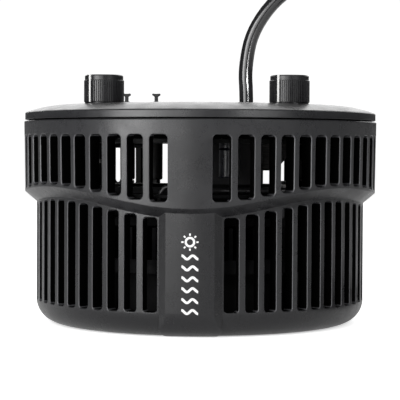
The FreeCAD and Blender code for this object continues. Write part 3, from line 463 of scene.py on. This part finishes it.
# hook-and-loop strap: fuzzy woven tape
m = Mat("tie_fabric", Sheen_Weight=0.5, Sheen_Roughness=0.4)
weave = m.math("MULTIPLY", m.waves(420.0, "X", 0.6, vector=m.scaled(1.0, (0, 0, math.radians(40)))), m.waves(420.0, "Y", 0.6, vector=m.scaled(1.0, (0, 0, math.radians(40)))))
fuzz = m.noise(1900.0, 5.0, 0.8, warp=1.2)
m.color(m.mix(m.span(fuzz, 0.3, 0.8, 0.0, 1.0), (0.008, 0.008, 0.009), (0.045, 0.045, 0.049)))
m.rough(m.span(fuzz, 0.3, 0.7, 0.78, 0.95))
low = m.bump(weave, 0.5, 0.00025)
m.bump(fuzz, 0.7, 0.0003, under=low)
M["tie"] = m.m

# circuit board: solder resist over copper tracks, coloured near-black, darker than resist, as painted shade inside the
# housing
m = Mat("board_resist", Specular_IOR_Level=0.12)
tracks = m.waves(170.0, "X", 9.0, vector=m.scaled(1.0, (0, 0, math.radians(45))))
tracks2 = m.cells(260.0, "DISTANCE_TO_EDGE")
net = m.math("MAXIMUM", m.span(tracks, 0.72, 0.80, 0.0, 1.0), m.span(tracks2, 0.05, 0.02, 0.0, 1.0), clamp=True)
m.color(m.mix(net, (0.0016, 0.0018, 0.0018), (0.0045, 0.005, 0.0049)))
m.rough(m.span(m.noise(500.0, 3.0), 0.3, 0.7, 0.38, 0.52))
m.bump(net, 0.25, 0.00008)
M["board"] = m.m

# power inductor: enamelled winding, coloured near-black as painted shade inside the housing
m = Mat("inductor_winding", Coat_Weight=0.4, Coat_Roughness=0.15)
turns = m.waves(420.0, "Z", 0.4)
m.color(m.mix(turns, (0.008, 0.006, 0.006), (0.030, 0.022, 0.020)))
m.rough(m.span(m.noise(400.0, 3.0), 0.3, 0.7, 0.30, 0.45))
m.bump(turns, 0.6, 0.0003)
M["ferrite"] = m.m

# capacitors: printed sleeve coloured near-black as painted shade inside the housing, scored metal top
m = Mat("capacitor_sleeve", Coat_Weight=0.15, Coat_Roughness=0.25)
top = m.facing_up(0.6, 0.8)
m.color(m.mix(top, m.ramp(m.noise(80.0, 3.0), [(0.3, (0.004, 0.0043, 0.008)), (0.7, (0.007, 0.0075, 0.014))]), (0.55, 0.55, 0.56)))
m.put(m.bsdf.inputs["Metallic"], top)
m.rough(m.span(m.noise(500.0, 3.0), 0.3, 0.7, 0.25, 0.38))
m.bump(m.noise(1200.0, 2.0), 0.08, 0.0001)
M["capacitor"] = m.m

# stator: laminations with enamelled windings
m = Mat("stator_windings")
turns = m.waves(900.0, "Z", 0.8)
m.color(m.mix(turns, (0.16, 0.055, 0.02), (0.48, 0.20, 0.08)))
m.rough(m.span(m.noise(600.0, 3.0), 0.3, 0.7, 0.3, 0.45))
m.put(m.bsdf.inputs["Metallic"], m.span(turns, 0.0, 1.0, 0.4, 0.8))
m.bump(turns, 0.5, 0.0002)
M["stator"] = m.m

# lamp board: white resist with a dot pattern of bare pads
m = Mat("lamp_board_resist")
pads = m.span(m.cells(420.0), 0.22, 0.16, 0.0, 1.0)
m.color(m.mix(pads, (0.74, 0.74, 0.72), (0.62, 0.58, 0.44)))
m.rough(m.span(m.noise(400.0, 3.0), 0.3, 0.7, 0.30, 0.45))
m.bump(pads, 0.2, 0.0001)
M["led_board"] = m.m

# emitter: phosphor disc over a grid of dies
m = Mat("emitter_phosphor", Coat_Weight=0.6, Coat_Roughness=0.08)
grid = m.math("MULTIPLY", m.waves(330.0, "X"), m.waves(330.0, "Y"))
m.color(m.mix(m.span(grid, 0.2, 0.75, 0.0, 1.0), (0.62, 0.40, 0.03), (0.86, 0.66, 0.10)))
m.rough(m.span(m.noise(900.0, 3.0), 0.3, 0.7, 0.32, 0.48))
m.bump(grid, 0.25, 0.0002)
M["emitter"] = m.m

# reflector: metallised, with a light orange peel
m = Mat("reflector_metallised", Metallic=1.0)
m.color(m.mix(m.noise(45.0, 3.0), (0.80, 0.80, 0.81), (0.90, 0.90, 0.90)))
m.rough(m.span(m.noise(350.0, 3.0), 0.3, 0.7, 0.05, 0.13))
m.bump(m.noise(420.0, 2.0), 0.10, 0.0003)
M["reflector"] = m.m

# lens: clear glass with a fine moulded ripple
m = Mat("lens_glass", Transmission_Weight=1.0, IOR=1.47)
m.color(m.mix(m.noise(60.0, 2.0), (0.93, 0.96, 0.97), (0.97, 0.985, 0.99)))
m.rough(m.span(m.noise(500.0, 4.0, 0.7), 0.4, 0.8, 0.015, 0.07))
m.bump(m.noise(160.0, 2.0), 0.05, 0.0004)
M["lens"] = m.m

slots = {s["node"]: s["material_slot"] for s in frame["record"]["subparts"]}
for name, ob in NODES.items():
    ob.data.materials.clear()
    ob.data.materials.append(M[slots[name]])

# ---------------------------------------------------------------------------
# mesh pieces
# ---------------------------------------------------------------------------


def mesh_object(name, verts, faces, material, smooth=True):
    me = bpy.data.meshes.new(name)
    me.from_pydata([tuple(c * MM for c in v) for v in verts], [], faces)
    me.validate()
    me.update()
    if smooth:
        me.polygons.foreach_set("use_smooth", [True] * len(me.polygons))
    me.materials.append(material)
    ob = bpy.data.objects.new(name, me)
    scene.collection.objects.link(ob)
    return ob


def band(path, half_width, thickness, closed):
    """A flat tape swept along a path of (r, z) points: rows of eight points round its section."""
    n = len(path)
    rows = []
    for i in range(n):
        if closed:
            a, b = path[(i - 1) % n], path[(i + 1) % n]
        else:
            a, b = path[max(i - 1, 0)], path[min(i + 1, n - 1)]
        t = Vector((b[0] - a[0], b[1] - a[1])).normalized()
        nrm = Vector((t.y, -t.x))
        p = Vector(path[i])
        h, w, c = thickness / 2, half_width, min(0.25, thickness * 0.4)
        sec = [(-w, -h + c), (-w + c, -h), (w - c, -h), (w, -h + c), (w, h - c), (w - c, h), (-w + c, h), (-w, h - c)]
        rows.append([(p + nrm * v, u) for u, v in sec])
    faces, verts = [], []
    for row in rows:
        for q, u in row:
            verts.append((q.x, u, q.y))
    m_ = 8
    last = n if closed else n - 1
    for i in range(last):
        j = (i + 1) % n
        for k in range(m_):
            faces.append((i * m_ + k, i * m_ + (k + 1) % m_, j * m_ + (k + 1) % m_, j * m_ + k))
    if not closed:
        faces.append(tuple(range(m_)))
        faces.append(tuple((n - 1) * m_ + k for k in reversed(range(m_))))
    return verts, faces


def hull_path(centres, offset, step=6.0):
    """Points of the line that runs round circles at those centres, offset away, anticlockwise."""
    pts = []
    n = len(centres)
    for i in range(n):
        p0, p1, p2 = centres[i - 1], centres[i], centres[(i + 1) % n]
        d0 = Vector((p1[0] - p0[0], p1[1] - p0[1])).normalized()
        d1 = Vector((p2[0] - p1[0], p2[1] - p1[1])).normalized()
        a0 = math.atan2(-d0.x, d0.y)
        a1 = math.atan2(-d1.x, d1.y)
        while a1 < a0:
            a1 += 2 * math.pi
        k = max(2, int(math.degrees(a1 - a0) / step))
        for j in range(k + 1):
            a = a0 + (a1 - a0) * j / k
            pts.append((p1[0] + offset * math.cos(a), p1[1] + offset * math.sin(a)))
        # a few points along the straight run to the next corner
        e = (p2[0] + offset * math.cos(a1), p2[1] + offset * math.sin(a1))
        s = pts[-1]
        m_ = max(1, int(math.hypot(e[0] - s[0], e[1] - s[1]) / 1.5))
        for j in range(1, m_):
            pts.append((s[0] + (e[0] - s[0]) * j / m_, s[1] + (e[1] - s[1]) * j / m_))
    return pts


def place_at_tie(verts):
    a = math.radians(TIE_AZ)
    ca, sa = math.cos(a), math.sin(a)
    return [(COIL_X + r * ca - t * sa, COIL_Y + r * sa + t * ca, z) for r, t, z in verts]


# the strap round the coil and its end laid back over the top
ring_path = hull_path([(24.9, 4.2), (43.5, 4.2), (40.4, 9.6), (28.0, 9.6)], 3.62)
v1, f1 = band(ring_path, 4.5, 0.8, True)
flap_path = [(43.9, 12.6), (42.9, 13.35), (41.6, 13.78), (40.0, 13.93), (38.0, 13.95), (36.0, 13.95), (34.0, 13.95), (32.0, 13.93), (30.6, 13.96), (29.6, 14.02), (29.0, 14.06)]
v2, f2 = band(flap_path, 4.35, 0.6, False)
off = len(v1)
tie = mesh_object("cord_tie_strap", place_at_tie(v1 + v2), f1 + [tuple(i + off for i in f) for f in f2], M["tie"])
sub = tie.modifiers.new("smooth", "SUBSURF")
sub.levels = 1
sub.render_levels = 1

# the white mark on the front rib: light rays over ripples
RIB_R = 73.9
mark_v, mark_f = [], []


def on_rib(x, z, lift):
    a = x / RIB_R
    r = RIB_R + lift
    return (r * math.sin(a), -r * math.cos(a), z)


def stroke(points, width, lift=0.035):
    """An inked line with square ends on the rib's face."""
    base = len(mark_v)
    n = len(points)
    for i, (x, z) in enumerate(points):
        a, b = points[max(i - 1, 0)], points[min(i + 1, n - 1)]
        t = Vector((b[0] - a[0], b[1] - a[1])).normalized()
        nx, nz = -t.y * width / 2, t.x * width / 2
        mark_v.extend([on_rib(x + nx, z + nz, lift), on_rib(x - nx, z - nz, lift), on_rib(x - nx, z - nz, -0.03), on_rib(x + nx, z + nz, -0.03)])
    for i in range(n - 1):
        a, b = base + 4 * i, base + 4 * (i + 1)
        for k in range(4):
            mark_f.append((a + k, b + k, b + (k + 1) % 4, a + (k + 1) % 4))
    mark_f.append((base, base + 1, base + 2, base + 3))
    e = base + 4 * (n - 1)
    mark_f.append((e + 3, e + 2, e + 1, e))


def arc(cx, cz, r, a0, a1, n=40):
    return [(cx + r * math.cos(math.radians(a0 + (a1 - a0) * i / n)), cz + r * math.sin(math.radians(a0 + (a1 - a0) * i / n))) for i in range(n + 1)]


stroke(arc(0, 38.3, 1.65, 0, 360, 48), 0.9)
for k in range(8):
    a = math.radians(45 * k)
    stroke([(2.5 * math.cos(a), 38.3 + 2.5 * math.sin(a)), (3.4 * math.cos(a), 38.3 + 3.4 * math.sin(a))], 0.65)
for z in (32.3, 28.0, 23.7, 19.4, 15.1, 10.8):
    stroke([(x, z + 0.7 * math.sin(2 * math.pi * x / 4.4)) for x in [(-3.3 + 6.6 * i / 48) for i in range(49)]], 1.0)
mark = mesh_object("rib_mark", mark_v, mark_f, M["ink"], smooth=False)

# ---------------------------------------------------------------------------
# what rides on what, and what stands for what
# ---------------------------------------------------------------------------
cord.data.materials.append(M["cord"])
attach(cord, "root")
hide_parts("power_cord", "cord_coil", "cord_tail")
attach(tie, "root")
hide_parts("cord_tie")
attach(mark, "root")

# ---------------------------------------------------------------------------
# floor, surroundings and lights
# ---------------------------------------------------------------------------
bm = bmesh.new()
bmesh.ops.create_grid(bm, x_segments=8, y_segments=8, size=12.0)
me = bpy.data.meshes.new("floor")
bm.to_mesh(me)
bm.free()
floor = bpy.data.objects.new("floor", me)
floor.location = (0, 0, -0.0002)
scene.collection.objects.link(floor)
fm = bpy.data.materials.new("floor")
fm.use_nodes = True
nt = fm.node_tree
nt.nodes.clear()
out = nt.nodes.new("ShaderNodeOutputMaterial")
add = nt.nodes.new("ShaderNodeAddShader")
dif = nt.nodes.new("ShaderNodeBsdfDiffuse")
em = nt.nodes.new("ShaderNodeEmission")
lp = nt.nodes.new("ShaderNodeLightPath")
st = nt.nodes.new("ShaderNodeMapRange")
dif.inputs["Color"].default_value = (0.80, 0.80, 0.80, 1)
em.inputs["Color"].default_value = (1, 1, 1, 1)
# painted contact shadow: to the camera the floor's glow is almost nothing within 52 mm of the centre and rises to
# nearly full by 72 mm, darkening the floor round the light's base
contact_shadow_fade = nt.nodes.new("ShaderNodeMapRange")
contact_shadow_fade.interpolation_type = "SMOOTHSTEP"
where = nt.nodes.new("ShaderNodeTexCoord")
reach = nt.nodes.new("ShaderNodeVectorMath")
reach.operation = "LENGTH"
nt.links.new(where.outputs["Object"], reach.inputs[0])
nt.links.new(reach.outputs["Value"], contact_shadow_fade.inputs["Value"])
contact_shadow_fade.inputs["From Min"].default_value = 0.052
contact_shadow_fade.inputs["From Max"].default_value = 0.072
contact_shadow_fade.inputs["To Min"].default_value = 0.02
contact_shadow_fade.inputs["To Max"].default_value = 0.95
st.inputs["To Min"].default_value = 0.30
nt.links.new(contact_shadow_fade.outputs["Result"], st.inputs["To Max"])
nt.links.new(lp.outputs["Is Camera Ray"], st.inputs["Value"])
nt.links.new(st.outputs["Result"], em.inputs["Strength"])
nt.links.new(dif.outputs[0], add.inputs[0])
nt.links.new(em.outputs[0], add.inputs[1])
nt.links.new(add.outputs[0], out.inputs["Surface"])
me.materials.append(fm)

world = bpy.data.worlds.new("studio")
scene.world = world
world.use_nodes = True
nt = world.node_tree
nt.nodes.clear()
out = nt.nodes.new("ShaderNodeOutputWorld")
seen = nt.nodes.new("ShaderNodeBackground")
lit = nt.nodes.new("ShaderNodeBackground")
mixer = nt.nodes.new("ShaderNodeMixShader")
lp = nt.nodes.new("ShaderNodeLightPath")
seen.inputs["Color"].default_value = (1, 1, 1, 1)
seen.inputs["Strength"].default_value = 1.05
lit.inputs["Color"].default_value = (1.0, 1.0, 1.0, 1)
lit.inputs["Strength"].default_value = 0.07
nt.links.new(lp.outputs["Is Camera Ray"], mixer.inputs["Fac"])
nt.links.new(lit.outputs[0], mixer.inputs[1])
nt.links.new(seen.outputs[0], mixer.inputs[2])
nt.links.new(mixer.outputs[0], out.inputs["Surface"])


def softbox(name, place, aim, width, height, power, color=(1, 1, 1)):
    data = bpy.data.lights.new(name, "AREA")
    data.shape = "RECTANGLE"
    data.size, data.size_y = width, height
    data.energy = power
    data.color = color
    ob = bpy.data.objects.new(name, data)
    ob.location = place
    ob.rotation_mode = "QUATERNION"
    ob.rotation_quaternion = (Vector(aim) - Vector(place)).to_track_quat("-Z", "Y")
    ob.visible_camera = False
    scene.collection.objects.link(ob)
    return ob


softbox("key_left", (-0.76, -0.92, 0.29), (0, 0, 0.05), 0.58, 0.9, 12.6)
softbox("key_spill", (-0.28, -1.16, 0.29), (0, 0, 0.05), 0.46, 0.9, 3.8)
softbox("back_wall", (0.0, 1.3, 0.76), (0, 0, 0.10), 1.5, 1.12, 10.5)
softbox("fill_right", (0.74, -0.93, 0.51), (0, 0, 0.10), 0.56, 0.24, 3.9)
# a narrow card that only the cord mirrors
card = softbox("cord_card", (0.60, -1.02, 0.235), (0.02, 0.02, 0.11), 0.30, 0.12, 11.0)
only = bpy.data.collections.new("card_sees")
only.objects.link(cord)
card.light_linking.receiver_collection = only

softbox("top", (0.0, -0.1, 1.2), (0, 0, 0.06), 0.9, 0.9, 2.0)

scene.view_settings.view_transform = "Standard"
